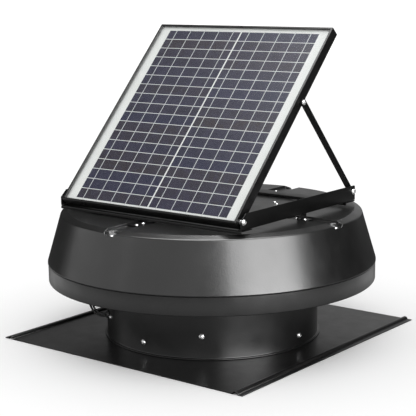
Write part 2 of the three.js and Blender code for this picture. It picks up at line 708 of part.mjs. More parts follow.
function addGrommet() {
  const underCap = DOME_TOP - CAP_SHEET;
  const collar = GROMMET_RADIUS - GROMMET_GROOVE;
  const grommet = ring([
    [GROMMET_BORE, underCap - 2.5], [GROMMET_RADIUS, underCap - 2.5],
    [GROMMET_RADIUS, underCap - GAP], [collar, underCap - GAP], [collar, DOME_TOP + GAP],
    [GROMMET_RADIUS, DOME_TOP + GAP], [GROMMET_RADIUS, DOME_TOP + 2], [GROMMET_BORE, DOME_TOP + 2],
  ], SMALL_SEGMENTS).translate(LEAD_DROP_RADIUS, 0, 0);
  add("dome_grommet", aroundZ(grommet, LEAD_ANGLE), RUBBER);
}

function addGland() {
  const wall = NECK_RADIUS - SHEET;
  const gland = turned([
    [0, -2.4], [GLAND_RADIUS, -2.4], [GLAND_RADIUS, SHEET + GAP], [GLAND_RADIUS + 2, SHEET + GAP],
    [GLAND_RADIUS + 2, 3.6], [GLAND_RADIUS - 1, 6], [0, 6],
  ], SMALL_SEGMENTS / 2);
  add("lead_gland", aroundZ(along(gland, [1, 0, 0], [wall, 0, GLAND_Z]), LEAD_ANGLE),
    BLACK_PLASTIC);
}

// The lead is a pair of strands side by side in one upright plane through the fan's axis. Its middle
// line, as [radius, height], runs from the grommet down through the air gap and up into the gland.
const LEAD_ROUTE = [
  [191, 209],
  [191.3, 190],
  [194, 165],
  [200, 135],
  [206, 105],
  [208.5, 80],
  [207.5, 63],
  [203.5, 51.5],
  [197.5, 44],
  [191, 40.5],
  [186.5, 39.6],
  [183.2, 39.5],
];

function addLead() {
  const middle = new THREE.CatmullRomCurve3(
    LEAD_ROUTE.map(([radius, height]) => new THREE.Vector3(radius, 0, height)));
  for (const [side, name] of [[-1, "panel_lead_outer"], [1, "panel_lead_inner"]]) {
    const points = middle.getSpacedPoints(LEAD_STEPS).map((point, i) => {
      const heading = middle.getTangentAt(i / LEAD_STEPS);
      const shift = (side * STRAND_SPACING) / 2;
      return new THREE.Vector3(point.x + heading.z * shift, 0, point.z - heading.x * shift);
    });
    const section = shapeOf(arc(0, 0, STRAND_DIAMETER / 2, 0, 315, 7));
    const strand = new THREE.ExtrudeGeometry(section, {
      steps: LEAD_STEPS, bevelEnabled: false, extrudePath: new THREE.CatmullRomCurve3(points),
    });
    add(name, aroundZ(strand, LEAD_ANGLE), RUBBER);
  }
}

// ---------------------------------------------------------------- the whole fan

addFlashing();
addNeck();
addNeckScrews();
addMotorBracket();
addMotor();
addFan();
addDome();
addDomeLegs();
addFrameFeet();
addFrame();
addFrameBolts();
addStruts();
addPanel();
addGrommet();
addGland();
addLead();

export default group;
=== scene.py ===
import json
import math
import random

import bmesh
import bpy
from mathutils import Matrix, Quaternion, Vector


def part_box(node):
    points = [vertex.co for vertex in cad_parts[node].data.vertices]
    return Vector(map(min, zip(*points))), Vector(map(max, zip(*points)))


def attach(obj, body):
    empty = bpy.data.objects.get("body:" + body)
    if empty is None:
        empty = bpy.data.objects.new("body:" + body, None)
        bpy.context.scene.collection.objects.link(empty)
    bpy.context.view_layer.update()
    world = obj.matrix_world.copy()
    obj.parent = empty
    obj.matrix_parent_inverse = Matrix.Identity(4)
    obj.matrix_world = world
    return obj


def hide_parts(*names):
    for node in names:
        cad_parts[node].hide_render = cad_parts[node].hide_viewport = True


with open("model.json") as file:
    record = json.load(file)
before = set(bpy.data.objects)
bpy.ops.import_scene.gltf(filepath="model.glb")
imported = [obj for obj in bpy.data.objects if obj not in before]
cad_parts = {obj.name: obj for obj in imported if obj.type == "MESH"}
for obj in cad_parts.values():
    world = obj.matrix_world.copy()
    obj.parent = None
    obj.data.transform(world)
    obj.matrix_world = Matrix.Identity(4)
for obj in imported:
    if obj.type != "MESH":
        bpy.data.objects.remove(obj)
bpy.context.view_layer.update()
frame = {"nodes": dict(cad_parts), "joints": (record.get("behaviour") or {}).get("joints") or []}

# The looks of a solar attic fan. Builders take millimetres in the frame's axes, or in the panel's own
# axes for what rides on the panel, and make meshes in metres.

MM = 0.001
JOINTS = {joint["name"]: joint for joint in frame["joints"]}
TAU = 2 * math.pi


def mm_box(node):
    """A CAD node's lowest and highest corners, in millimetres."""
    lo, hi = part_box(node)
    return lo / MM, hi / MM


# ------------------------------------------------------------------ camera

CAMERA_AZIMUTH = 38.2
CAMERA_ELEVATION = 12.16
CAMERA_ROLL = -0.57
CAMERA_TARGET = Vector((0, 0, 0.153))
CAMERA_DISTANCE = 2.047
CAMERA_LENS = 105.4
CAMERA_SHIFT = (-0.0088, 0.0795)


def direction(azimuth, elevation):
    """From the object towards a viewer: azimuth 0 is in front, at -Y, and 90 is at +X."""
    a, e = math.radians(azimuth), math.radians(elevation)
    return Vector((math.sin(a) * math.cos(e), -math.cos(a) * math.cos(e), math.sin(e)))


def make_camera():
    back = direction(CAMERA_AZIMUTH, CAMERA_ELEVATION)
    data = bpy.data.cameras.new("camera")
    data.lens = CAMERA_LENS
    data.shift_x, data.shift_y = CAMERA_SHIFT
    camera = bpy.data.objects.new("camera", data)
    camera.rotation_mode = "QUATERNION"
    camera.location = CAMERA_TARGET + back * CAMERA_DISTANCE
    roll = Quaternion((0, 0, 1), math.radians(CAMERA_ROLL))
    camera.rotation_quaternion = (-back).to_track_quat("-Z", "Y") @ roll
    bpy.context.scene.collection.objects.link(camera)
    bpy.context.scene.camera = camera


make_camera()


# ------------------------------------------------------------------ material helpers

class Nodes:
    """A material's node tree, with short ways to add and join nodes."""

    def __init__(self, name):
        self.material = bpy.data.materials.new(name)
        self.material.use_nodes = True
        self.tree = self.material.node_tree
        self.tree.nodes.clear()
        self.output = self.add("ShaderNodeOutputMaterial")
        self.place = self.add("ShaderNodeTexCoord").outputs["Object"]

    def add(self, kind, **settings):
        node = self.tree.nodes.new(kind)
        for key, value in settings.items():
            setattr(node, key, value)
        return node

    def join(self, source, target):
        self.tree.links.new(source, target)

    def fill(self, socket, value):
        if isinstance(value, bpy.types.NodeSocket):
            self.join(value, socket)
        else:
            socket.default_value = value

    def scaled(self, scale):
        mapping = self.add("ShaderNodeMapping")
        mapping.inputs["Scale"].default_value = scale
        self.join(self.place, mapping.inputs["Vector"])
        return mapping.outputs["Vector"]

    def noise(self, scale, detail=2.0, vector=None):
        node = self.add("ShaderNodeTexNoise")
        node.inputs["Scale"].default_value = scale
        node.inputs["Detail"].default_value = detail
        self.join(vector or self.place, node.inputs["Vector"])
        return node.outputs["Fac"]

    def spread(self, value, low, high, out_low, out_high):
        node = self.add("ShaderNodeMapRange")
        self.join(value, node.inputs["Value"])
        node.inputs["From Min"].default_value = low
        node.inputs["From Max"].default_value = high
        node.inputs["To Min"].default_value = out_low
        node.inputs["To Max"].default_value = out_high
        return node.outputs["Result"]

    def mix(self, factor, first, second):
        node = self.add("ShaderNodeMix", data_type="RGBA")
        self.fill(node.inputs["Factor"], factor)
        self.fill(node.inputs["A"], first)
        self.fill(node.inputs["B"], second)
        return node.outputs["Result"]

    def math(self, operation, first, second=0.0, third=0.0):
        node = self.add("ShaderNodeMath", operation=operation)
        for socket, value in zip(node.inputs, (first, second, third)):
            self.fill(socket, value)
        return node.outputs["Value"]

    def bump(self, height, distance, strength=1.0, normal=None):
        node = self.add("ShaderNodeBump")
        node.inputs["Strength"].default_value = strength
        node.inputs["Distance"].default_value = distance
        self.join(height, node.inputs["Height"])
        if normal is not None:
            self.join(normal, node.inputs["Normal"])
        return node.outputs["Normal"]

    def finish(self, **inputs):
        """A Principled shader with these inputs, as plain values or sockets."""
        shader = self.add("ShaderNodeBsdfPrincipled")
        for key, value in inputs.items():
            self.fill(shader.inputs[key.replace("_", " ")], value)
        self.join(shader.outputs["BSDF"], self.output.inputs["Surface"])
        return self.material


def grey(value):
    return (value, value, value, 1)


# ------------------------------------------------------------------ materials

def powder_coat(name, tone=0.006, low=0.28, high=0.35, shine=0.5, coat=0.12):
    """Satin black powder coat: orange peel, slow waviness of the sheet, slight mottling of the gloss."""
    n = Nodes(name)
    tint = n.mix(n.spread(n.noise(14, 3), 0.35, 0.65, 0, 1), grey(tone * 0.8), grey(tone * 1.2))
    rough = n.spread(n.noise(40, 4), 0.3, 0.7, low, high)
    waves = n.bump(n.noise(5, 1), 0.0012)
    skin = n.bump(n.noise(420, 2), 0.00009, normal=waves)
    grain = n.bump(n.noise(1500, 1), 0.00002, normal=skin)
    return n.finish(Base_Color=tint, Roughness=rough, Normal=grain, Specular_IOR_Level=shine,
                    Coat_Weight=coat, Coat_Roughness=0.16)


def anodised(name, run):
    """Black anodised extrusion, with drawing lines along the given axis (0 is X, 1 is Y)."""
    n = Nodes(name)
    scale = [1600, 1600, 1600]
    scale[run] = 6
    lines = n.noise(1, 2, vector=n.scaled(scale))
    tint = n.mix(lines, grey(0.006), grey(0.014))
    rough = n.spread(n.noise(60, 3), 0.3, 0.7, 0.26, 0.36)
    return n.finish(Base_Color=tint, Roughness=rough, Metallic=0.35,
                    Normal=n.bump(lines, 0.00002), Specular_IOR_Level=0.5)


def bright_metal(name, tone, low, high, scratches=700, tint=(1, 1, 1)):
    n = Nodes(name)
    cloud = n.noise(90, 4)
    first = tuple(tone * 0.82 * c for c in tint) + (1,)
    second = tuple(tone * c for c in tint) + (1,)
    marks = n.noise(1, 3, vector=n.scaled((scratches, scratches / 7, scratches)))
    return n.finish(Base_Color=n.mix(cloud, first, second), Metallic=1.0,
                    Roughness=n.spread(marks, 0.3, 0.7, low, high),
                    Normal=n.bump(marks, 0.00002))


def galvanised(name):
    """Zinc-dipped sheet with its spangle of flat crystals."""
    n = Nodes(name)
    flakes = n.add("ShaderNodeTexVoronoi")
    flakes.inputs["Scale"].default_value = 130
    n.join(n.place, flakes.inputs["Vector"])
    shade = n.add("ShaderNodeSeparateColor")
    n.join(flakes.outputs["Color"], shade.inputs["Color"])
    level = shade.outputs["Red"]
    return n.finish(Base_Color=n.mix(level, grey(0.36), grey(0.56)), Metallic=1.0,
                    Roughness=n.spread(level, 0, 1, 0.32, 0.5),
                    Normal=n.bump(n.noise(300, 3), 0.00004))


def plastic(name, tone, low, high, grain=1100, depth=0.00006):
    """Moulded plastic or rubber with a spark-eroded grain."""
    n = Nodes(name)
    tint = n.mix(n.noise(60, 3), grey(tone * 0.8), grey(tone * 1.25))
    return n.finish(Base_Color=tint, Roughness=n.spread(n.noise(grain / 3, 3), 0.3, 0.7, low, high),
                    Normal=n.bump(n.noise(grain, 2), depth))


def backsheet_film(name):
    n = Nodes(name)
    tint = n.mix(n.noise(35, 4), (0.74, 0.73, 0.71, 1), (0.80, 0.79, 0.775, 1))
    weave = n.noise(1, 1, vector=n.scaled((900, 900, 900)))
    return n.finish(Base_Color=tint, Roughness=0.5, Specular_IOR_Level=0.1,
                    Normal=n.bump(weave, 0.00003))


def cell_silicon(name, pitch_x, pitch_y, start_y):
    """Blue-violet polycrystalline cells: a tone for each cell, crystal grains, fine silver fingers."""
    n = Nodes(name)
    parts = n.add("ShaderNodeSeparateXYZ")
    n.join(n.place, parts.inputs["Vector"])
    column = n.math("FLOOR", n.math("DIVIDE", parts.outputs["X"], pitch_x))
    row = n.math("FLOOR", n.math("DIVIDE", n.math("SUBTRACT", parts.outputs["Y"], start_y), pitch_y))
    cell = n.add("ShaderNodeCombineXYZ")
    n.join(column, cell.inputs["X"])
    n.join(row, cell.inputs["Y"])
    tone = n.add("ShaderNodeTexWhiteNoise", noise_dimensions="3D")
    n.join(cell.outputs["Vector"], tone.inputs["Vector"])
    crystals = n.add("ShaderNodeTexVoronoi")
    crystals.inputs["Scale"].default_value = 95
    n.join(n.scaled((1, 1, 0.2)), crystals.inputs["Vector"])
    grains = n.add("ShaderNodeSeparateColor")
    n.join(crystals.outputs["Color"], grains.inputs["Color"])
    by_cell = n.mix(tone.outputs["Value"], (0.030, 0.021, 0.026, 1), (0.018, 0.019, 0.050, 1))
    by_grain = n.mix(n.spread(grains.outputs["Green"], 0, 1, 0.0, 0.55), by_cell,
                     (0.036, 0.033, 0.066, 1))
    stripe = n.math("FRACT", n.math("MULTIPLY", parts.outputs["X"], 1 / 0.0021))
    finger = n.math("LESS_THAN", stripe, 0.07)
    silver = n.mix(n.math("MULTIPLY", finger, 0.5), by_grain, (0.32, 0.32, 0.34, 1))
    rough = n.spread(grains.outputs["Red"], 0, 1, 0.42, 0.56)
    return n.finish(Base_Color=silver, Roughness=rough, Specular_IOR_Level=0.05,
                    Normal=n.bump(n.noise(600, 2), 0.00001))


def solar_glass(name):
    """Clear glass that lets light through to the cells, with a faint pebbled mirror on top."""
    n = Nodes(name)
    clear = n.add("ShaderNodeBsdfTransparent")
    clear.inputs["Color"].default_value = (0.97, 0.98, 0.98, 1)
    mirror = n.add("ShaderNodeBsdfGlossy")
    mirror.inputs["Roughness"].default_value = 0.28
    pebble = n.bump(n.noise(700, 1), 0.000006)
    n.join(pebble, mirror.inputs["Normal"])
    facing_away = n.add("ShaderNodeLayerWeight").outputs["Facing"]
    share = n.spread(n.math("POWER", facing_away, 4), 0, 1, 0.004, 0.5)
    blend = n.add("ShaderNodeMixShader")
    n.join(share, blend.inputs["Fac"])
    n.join(clear.outputs["BSDF"], blend.inputs[1])
    n.join(mirror.outputs["BSDF"], blend.inputs[2])
    n.join(blend.outputs["Shader"], n.output.inputs["Surface"])
    return n.material


BLACK = powder_coat("black_steel_coat")
FRAME_BLACK = powder_coat("frame_coat", tone=0.004, low=0.30, high=0.40, shine=0.25, coat=0.06)
RAIL_X = anodised("rail_black_x", 0)
RAIL_Y = anodised("rail_black_y", 1)
ZINC = bright_metal("bright_zinc", 0.82, 0.18, 0.34)
ALUMINIUM = bright_metal("mill_aluminium", 0.66, 0.28, 0.45, scratches=300)
WIRE = bright_metal("screen_wire", 0.45, 0.3, 0.45)
RIBBON = plastic("tinned_ribbon", 0.55, 0.4, 0.5, grain=500, depth=0.00001)
SPANGLE = galvanised("galvanised_sheet")
PLASTIC = plastic("black_moulding", 0.020, 0.42, 0.6)
RUBBER = plastic("black_rubber", 0.014, 0.5, 0.72, grain=600)
SEALANT = plastic("black_sealant", 0.010, 0.35, 0.5, grain=300)
FILM = backsheet_film("white_backsheet")
GLASS = solar_glass("clear_solar_glass")


# ------------------------------------------------------------------ mesh helpers

MERGE_DISTANCE = 1e-7
SHARP_ANGLE = 30


def mesh_of(name, vertices, faces):
    """A mesh from points in millimetres."""
    mesh = bpy.data.meshes.new(name)
    mesh.from_pydata([tuple(MM * c for c in v) for v in vertices], [], faces)
    return mesh


def turn_outwards(mesh, merge=True):
    """Turns a mesh's faces outwards, once points that lie on each other are merged."""
    bm = bmesh.new()
    bm.from_mesh(mesh)
    if merge:
        bmesh.ops.remove_doubles(bm, verts=bm.verts, dist=MERGE_DISTANCE)
    bmesh.ops.recalc_face_normals(bm, faces=bm.faces)
    bm.to_mesh(mesh)
    bm.free()


def soften(mesh, sharp=SHARP_ANGLE):
    """Shades a mesh smooth, but for edges sharper than this many degrees."""
    mesh.shade_smooth()
    mesh.set_sharp_from_angle(angle=math.radians(sharp))


def linked(name, data, matrix=None):
    """An object in the scene that shows a mesh, a curve or a lamp."""
    obj = bpy.data.objects.new(name, data)
    bpy.context.scene.collection.objects.link(obj)
    if matrix is not None:
        obj.matrix_world = matrix
    return obj


def piece(name, vertices, faces, material, body, slot, smooth=SHARP_ANGLE, matrix=None):
    """A mesh object from points in millimetres, riding on a body."""
    mesh = mesh_of(name, vertices, faces)
    turn_outwards(mesh)
    soften(mesh, smooth)
    mesh.materials.append(material)
    obj = linked(name, mesh, matrix)
    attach(obj, body)
    return obj


def fillet(points, radii, steps=5, loop=False):
    """A polyline with its corners rounded by arcs of the given radii."""
    count = len(points)
    rounded = []
    for i, corner in enumerate(points):
        radius = radii[i] if isinstance(radii, (list, tuple)) else radii
        at_end = not loop and i in (0, count - 1)
        if at_end or radius <= 0:
            rounded.append(tuple(corner))
            continue
        here = Vector(corner)
        back = Vector(points[i - 1]) - here
        ahead = Vector(points[(i + 1) % count]) - here
        half = back.angle(ahead) / 2
        reach = min(radius / math.tan(half), back.length * 0.49, ahead.length * 0.49)
        start = here + back.normalized() * reach
        stop = here + ahead.normalized() * reach
        for k in range(steps + 1):
            t = k / steps
            rounded.append(tuple(start * (1 - t) ** 2 + here * 2 * t * (1 - t) + stop * t ** 2))
    return rounded


def lathe(profile, segments=160, loop=False):
    """Points and faces of a profile of (radius, height) turned about Z."""
    vertices = []
    for k in range(segments):
        angle = TAU * k / segments
        vertices += [(r * math.cos(angle), r * math.sin(angle), z) for r, z in profile]
    count = len(profile)
    spans = count if loop else count - 1
    faces = []
    for k in range(segments):
        here, there = k * count, ((k + 1) % segments) * count
        for i in range(spans):
            j = (i + 1) % count
            faces.append((here + i, there + i, there + j, here + j))
    return vertices, faces


def prism(outline, low, high):
    """Points and faces of an outline pulled along Z."""
    count = len(outline)
    vertices = [(u, v, low) for u, v in outline] + [(u, v, high) for u, v in outline]
    faces = [tuple(range(count)), tuple(range(count, 2 * count))]
    faces += [(i, (i + 1) % count, count + (i + 1) % count, count + i) for i in range(count)]
    return vertices, faces


def along_x(outline, low, high):
    """An outline of (y, z) pulled along X."""
    vertices, faces = prism(outline, low, high)
    return [(w, u, v) for u, v, w in vertices], faces


def along_y(outline, low, high):
    """An outline of (x, z) pulled along Y."""
    vertices, faces = prism(outline, low, high)
    return [(u, w, v) for u, v, w in vertices], faces


def moved(vertices, matrix):
    return [tuple(matrix @ Vector(v)) for v in vertices]


def turn_z(degrees):
    return Matrix.Rotation(math.radians(degrees), 4, "Z")


def facing(axis, place):
    """Carries +Z to an axis, and the origin to a place."""
    turn = Vector(axis).to_track_quat("Z", "Y").to_matrix().to_4x4()
    return Matrix.Translation(Vector(place)) @ turn


def joined(*parts):
    """Several (points, faces) as one."""
    vertices, faces = [], []
    for points, polygons in parts:
        base = len(vertices)
        vertices += points
        faces += [tuple(base + i for i in polygon) for polygon in polygons]
    return vertices, faces


def dress(material, *names, sharp=32):
    """Gives CAD nodes a material; they keep their shape."""
    for name in names:
        mesh = frame["nodes"][name].data
        mesh.materials.clear()
        mesh.materials.append(material)
        if sharp is not None:
            soften(mesh, sharp)


def bevel(obj, width, segments=2, angle=40):
    """Rounds the edges sharper than an angle, by a width in millimetres."""
    modifier = obj.modifiers.new("edges", "BEVEL")
    modifier.width = width * MM
    modifier.segments = segments
    modifier.limit_method = "ANGLE"
    modifier.angle_limit = math.radians(angle)
    return obj


def cut_away(obj, *tools):
    """Cuts closed (points, faces) tools, in millimetres and the piece's own axes, out of a piece."""
    for vertices, faces in tools:
        mesh = mesh_of("tool", vertices, faces)
        turn_outwards(mesh, merge=False)
        tool = linked("tool", mesh, obj.matrix_world)
        modifier = obj.modifiers.new("cut", "BOOLEAN")
        modifier.operation = "DIFFERENCE"
        modifier.solver = "EXACT"
        modifier.object = tool
        bpy.context.view_layer.update()
        graph = bpy.context.evaluated_depsgraph_get()
        result = bpy.data.meshes.new_from_object(obj.evaluated_get(graph))
        obj.modifiers.clear()
        obj.data = result
        bpy.data.objects.remove(tool)
    soften(obj.data)
    return obj


def drum(radius, low, high, segments):
    """A closed cylinder about Z."""
    circle = [(radius * math.cos(TAU * k / segments), radius * math.sin(TAU * k / segments))
              for k in range(segments)]
    return prism(circle, low, high)


def block(x0, x1, y0, y1, z0, z1):
    return prism([(x0, y0), (x1, y0), (x1, y1), (x0, y1)], z0, z1)


# ------------------------------------------------------------------ screws and bolts

SMALL_SEGMENTS = 32


def pan_head(name, radius, height):
    """The mesh of a cross-recess pan-head screw with a thin washer face, its seat at z = 0."""
    profile = fillet([(0, -1.2), (radius * 0.55, -1.2), (radius * 0.55, 0), (radius * 1.12, 0),
                      (radius * 1.12, 0.45), (radius, 0.5), (radius * 0.92, height * 0.7),
                      (radius * 0.45, height), (0, height)],
                     [0, 0, 0, 0.15, 0.15, 0.3, 1.2, 1.5, 0], steps=4)
    mesh = mesh_of(name, *lathe(profile, SMALL_SEGMENTS))
    turn_outwards(mesh)
    holder = linked(name, mesh)
    arm, slit = radius * 0.62, radius * 0.13
    cross = [(-arm, -slit), (-slit, -slit), (-slit, -arm), (slit, -arm), (slit, -slit), (arm, -slit),
             (arm, slit), (slit, slit), (slit, arm), (-slit, arm), (-slit, slit), (-arm, slit)]
    cut_away(holder, prism(cross, height * 0.35, height + 1))
    result = holder.data
    result.name = name
    bpy.data.objects.remove(holder)
    result.materials.clear()
    result.materials.append(ZINC)
    return result


SCREW = pan_head("screw_head", 3.9, 2.6)
SMALL_SCREW = pan_head("small_screw_head", 3.0, 1.9)
BOLT = pan_head("bolt_head", 4.4, 3.1)
BOLT_THIN = pan_head("thin_bolt_head", 3.9, 2.5)


def fastener(name, mesh, axis, place, body="root", spin=0.0, replaces=(), matrix=None):
    """A copy of a screw's mesh, with its seat at a place in millimetres and its head along an axis."""
    seat = facing(axis, Vector(place) * MM) @ turn_z(spin)
    obj = linked(name, mesh, (matrix @ seat) if matrix is not None else seat)
    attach(obj, body)
    if replaces:
        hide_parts(*replaces)
    return obj


def radial(angle_deg, radius, height):
    angle = math.radians(angle_deg)
    return Vector((radius * math.cos(angle), radius * math.sin(angle), height))


spins = random.Random(14)


# ------------------------------------------------------------------ flashing and neck

SHEET = 1.2
NECK_LO, NECK_HI = mm_box("throat_collar")
NECK_RADIUS = 178.0
THROAT_HOLE_RADIUS = 174.0
RIB_X = 234.0
RIB_HALF_WIDTH = 4.6
SEAM_HALF_WIDTH = 6.0
SEAM_HEIGHT = 0.8
SEAM_ANGLE = 118


def arc(centre_u, centre_v, radius_u, radius_v, from_deg, to_deg, steps):
    """Points of a circle's or an ellipse's arc."""
    points = []
    for k in range(steps + 1):
        angle = math.radians(from_deg + (to_deg - from_deg) * k / steps)
        points.append((centre_u + radius_u * math.cos(angle), centre_v + radius_v * math.sin(angle)))
    return points


def make_flashing():
    hi = mm_box("base_flashing")[1]
    half, rise = hi.x, hi.z

    def line(lift, grow):
        ribs = []
        for centre in (-RIB_X, RIB_X):
            ribs += arc(centre, lift, RIB_HALF_WIDTH + grow, rise - SHEET, 180, 0, 14)
        return [(-half, lift)] + ribs + [(half, lift)]

    outline = line(0, -0.6) + line(SHEET, 0)[::-1]
    flashing = piece("roof_flashing", *along_y(outline, -half, half), BLACK, "root", "black_steel")
    cut_away(flashing, drum(THROAT_HOLE_RADIUS, -5, 10, 192))
    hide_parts("base_flashing")
    bevel(flashing, 0.35)


def make_neck():
    low, top = NECK_LO.z, NECK_HI.z
    flange = NECK_HI.x
    inner = NECK_RADIUS - SHEET
    profile = fillet([(inner, low), (flange, low), (flange, low + 1.5), (NECK_RADIUS, low + 1.6),
                      (NECK_RADIUS, top - 2), (NECK_RADIUS, top), (inner, top)],
                     [0.3, 0.6, 0.6, 1.2, 0, 0.5, 0.5], steps=4, loop=True)
    neck = piece("throat_wall", *lathe(profile, 256, loop=True), BLACK, "root", "black_steel")
    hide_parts("throat_collar")
    foot, crown = NECK_RADIUS - 0.2, NECK_RADIUS + SEAM_HEIGHT
    wide, narrow = SEAM_HALF_WIDTH, SEAM_HALF_WIDTH - 0.4
    seam = fillet([(foot, -wide), (crown, -narrow), (crown, narrow), (foot, wide)],
                  [0, 0.5, 0.5, 0], steps=3)
    lap = piece("throat_seam", *prism(seam, low + 3, top - 0.5), BLACK, "root", "black_steel")
    lap.data.transform(turn_z(SEAM_ANGLE))
    bevel(lap, 0.25)


def make_neck_screws():
    for word in ("collar", "bracket"):
        for number in range(1, 5):
            lo, hi = mm_box(f"{word}_screw_{number}")
            middle = (lo + hi) / 2
            angle = math.degrees(math.atan2(middle.y, middle.x))
            place = radial(angle, NECK_RADIUS, middle.z)
            fastener(f"{word}_screw_head_{number}", SCREW, radial(angle, 1, 0), place,
                     spin=spins.uniform(0, 90), replaces=(f"{word}_screw_{number}",))


make_flashing()
make_neck()
make_neck_screws()


# ------------------------------------------------------------------ dome

CAP_LO, CAP_HI = mm_box("dome_cap")
SKIRT_LO, SKIRT_HI = mm_box("dome_skirt")
LIP_TOP = CAP_LO.z + 2.4
CONE_TOP = (250.3, 208.2)
DOME_TOP = CAP_HI.z - 1.5
SHOULDER = 238.0
BOSS = 145.0
CHANNEL_HALF = 15.0
CHANNEL_ENDS = (158.0, 240.0)
CHANNEL_DEPTH = 4.0
POCKET_CENTRE = 242.0
POCKET_RADIUS = 12.5
POCKET_DEPTH = 9.0
CHANNEL_CORNER = 4.0
RING_GAP = 0.35
CAP_SHEET = 1.1
QUARTERS = (0, 90, 180, 270)
POCKET_SCREW_RADIUS = 245.0
FOOT_SCREW_RADII = (172.0, 187.5)
FOOT_THICKNESS = 2.3
LEG_SCREW_RADIUS = 109.0
LEG_SCREW_SPREAD = 4.8
SCREEN_UPRIGHTS = 150
SCREEN_ROWS = 15
WIRE_THICKNESS = 0.9
# How far the band stands out from its CAD node, towards the lip above it.
SKIRT_PROUD = 0.7


def ease(value, width):
    """0 outside a form, 1 inside, smooth over its edge: value is the distance, negative inside."""
    t = min(max(0.5 - value / (2 * width), 0), 1)
    return t * t * (3 - 2 * t)


def pressed(r, angle, z):
    """The dome's height once the channels and their pockets are pressed in."""
    swing = (angle + TAU / 8) % (TAU / 4) - TAU / 8
    x, y = r * math.cos(swing), r * math.sin(swing)
    middle, half = sum(CHANNEL_ENDS) / 2, (CHANNEL_ENDS[1] - CHANNEL_ENDS[0]) / 2
    dx = abs(x - middle) - half + CHANNEL_CORNER
    dy = abs(y) - CHANNEL_HALF + CHANNEL_CORNER
    slot = math.hypot(max(dx, 0), max(dy, 0)) + min(max(dx, dy), 0) - CHANNEL_CORNER
    floor = min(z, DOME_TOP - CHANNEL_DEPTH)
    z += (floor - z) * ease(slot, 1.3)
    pocket = math.hypot(x - POCKET_CENTRE, y) - POCKET_RADIUS
    floor = min(z, DOME_TOP - POCKET_DEPTH)
    return z + (floor - z) * ease(pocket, 1.2)


def spaced(stops):
    """Values from (start, step) stops, each run evenly divided up to the next stop."""
    values = []
    ends = [start for start, step in stops[1:]]
    for (start, step), end in zip(stops, ends):
        count = max(1, round(abs(end - start) / step))
        values += [start + (end - start) * k / count for k in range(count)]
    return values + [stops[-1][0]]


def height_on(line, r):
    """The height, at a radius, of a line of (radius, height) that runs inwards."""
    for (r0, z0), (r1, z1) in zip(line, line[1:]):
        if r1 <= r <= r0 and r0 > r1:
            return z0 + (z1 - z0) * (r0 - r) / (r0 - r1)


def make_cap():
    """The dome's sheet as rings of points, close together where the channels' edges bend it."""
    lip = CAP_HI.x
    line = fillet([(lip, CAP_LO.z), (lip, LIP_TOP), CONE_TOP, (SHOULDER, DOME_TOP),
                   (BOSS + 2, DOME_TOP), (BOSS, CAP_HI.z), (0, CAP_HI.z)],
                  [0, 1.2, 4.0, 2.5, 2.5, 2.5, 0], steps=7)
    # Rings are close over the shoulder, at the channels' inner ends and at the boss.
    radii = spaced([(CONE_TOP[0] + 6, 1), (226, 4), (163, 0.7), (155, 3), (149, 0.7), (142, 12),
                    (6, 6)])
    profile = [(r, z) for r, z in line if r > 226]
    fixed = [r for r, z in profile]
    for r in radii:
        if min(abs(r - other) for other in fixed) >= RING_GAP:
            profile.append((r, height_on(line, r)))
    profile = sorted(set(profile), key=lambda point: (-point[0], point[1]))
    # Within each quarter, the steps are finest at the channel's two long edges.
    quarter = spaced([(-45, 2), (-6.2, 0.17), (-2.4, 0.6), (2.4, 0.17), (6.2, 2), (45, 2)])[:-1]
    angles = [math.radians(90 * k + step) for k in range(4) for step in quarter]
    vertices = []
    for angle in angles:
        for r, z in profile:
            height = pressed(r, angle, z) if r > 150 else z
            vertices.append((r * math.cos(angle), r * math.sin(angle), height))
    count, faces = len(profile), []
    for k in range(len(angles)):
        here, there = k * count, ((k + 1) % len(angles)) * count
        faces += [(here + i, there + i, there + i + 1, here + i + 1) for i in range(count - 1)]
    faces.append(tuple(k * count + count - 1 for k in range(len(angles))))
    cap = piece("dome_top", vertices, faces, BLACK, "root", "black_steel", smooth=50)
    shell = cap.modifiers.new("sheet", "SOLIDIFY")
    shell.thickness = CAP_SHEET * MM
    shell.offset = -1
    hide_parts("dome_cap")


def make_skirt():
    outer, low, top = SKIRT_HI.x + SKIRT_PROUD, SKIRT_LO.z, SKIRT_HI.z
    inner = outer - SHEET
    lip = CAP_LO.z
    profile = fillet([(outer - 4, low), (outer, low), (outer, lip - 0.15), (inner, lip - 0.15),
                      (inner, top), (inner - 1, top), (inner - 1, low + 2.4),
                      (outer - 4, low + 2.4)],
                     [1.0, 1.1, 0.1, 0, 0.3, 0.3, 0.6, 1.0], steps=5, loop=True)
    skirt = piece("dome_band", *lathe(profile, 320, loop=True), BLACK, "root", "black_steel")
    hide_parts("dome_skirt")


def make_dome_screws():
    floor = DOME_TOP - CHANNEL_DEPTH
    for k, angle in enumerate(QUARTERS):
        places = [(f"pocket_screw_{k + 1}",
                   radial(angle, POCKET_SCREW_RADIUS, DOME_TOP - POCKET_DEPTH))]
        places += [(f"foot_screw_{k + 1}_{number + 1}", radial(angle, radius, floor + FOOT_THICKNESS))
                   for number, radius in enumerate(FOOT_SCREW_RADII)]
        places += [(f"leg_screw_{k + 1}_{number + 1}",
                    radial(angle + 45 + side * LEG_SCREW_SPREAD, LEG_SCREW_RADIUS, CAP_HI.z))
                   for number, side in enumerate((-1, 1))]
        for name, place in places:
            fastener(name, SMALL_SCREW, (0, 0, 1), place, spin=spins.uniform(0, 90))


